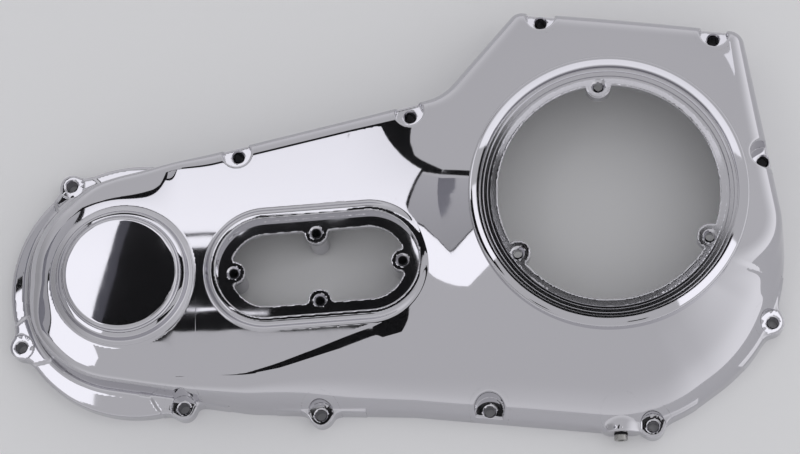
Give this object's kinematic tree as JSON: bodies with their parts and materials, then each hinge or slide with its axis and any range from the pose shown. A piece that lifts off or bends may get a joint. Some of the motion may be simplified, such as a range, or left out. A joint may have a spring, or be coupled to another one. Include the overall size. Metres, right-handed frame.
{
  "type": "primary cover",
  "caption": "Chrome-plated cast motorcycle primary cover: long shell with a domed round end, an oval screw seat and a large round clutch opening.",
  "frame": {"origin": "the clutch axis on the plane of the gasket face", "axes": "+X towards the clutch end along the longest side, +Y up as on the vehicle, +Z outwards from the gasket face"},
  "size_m": [0.5212, 0.2922, 0.0625],
  "materials": {
    "chrome_plate": "mirror-polished chrome plate on die-cast aluminium, with machined bands on the seats",
    "zinc_steel": "plain plated steel",
    "seal_rubber": "matt black"
  },
  "bodies": {
    "root": {"cover": "chrome_plate", "drain_plug": "zinc_steel", "drain_seal": "seal_rubber"}
  },
  "joints": []
}
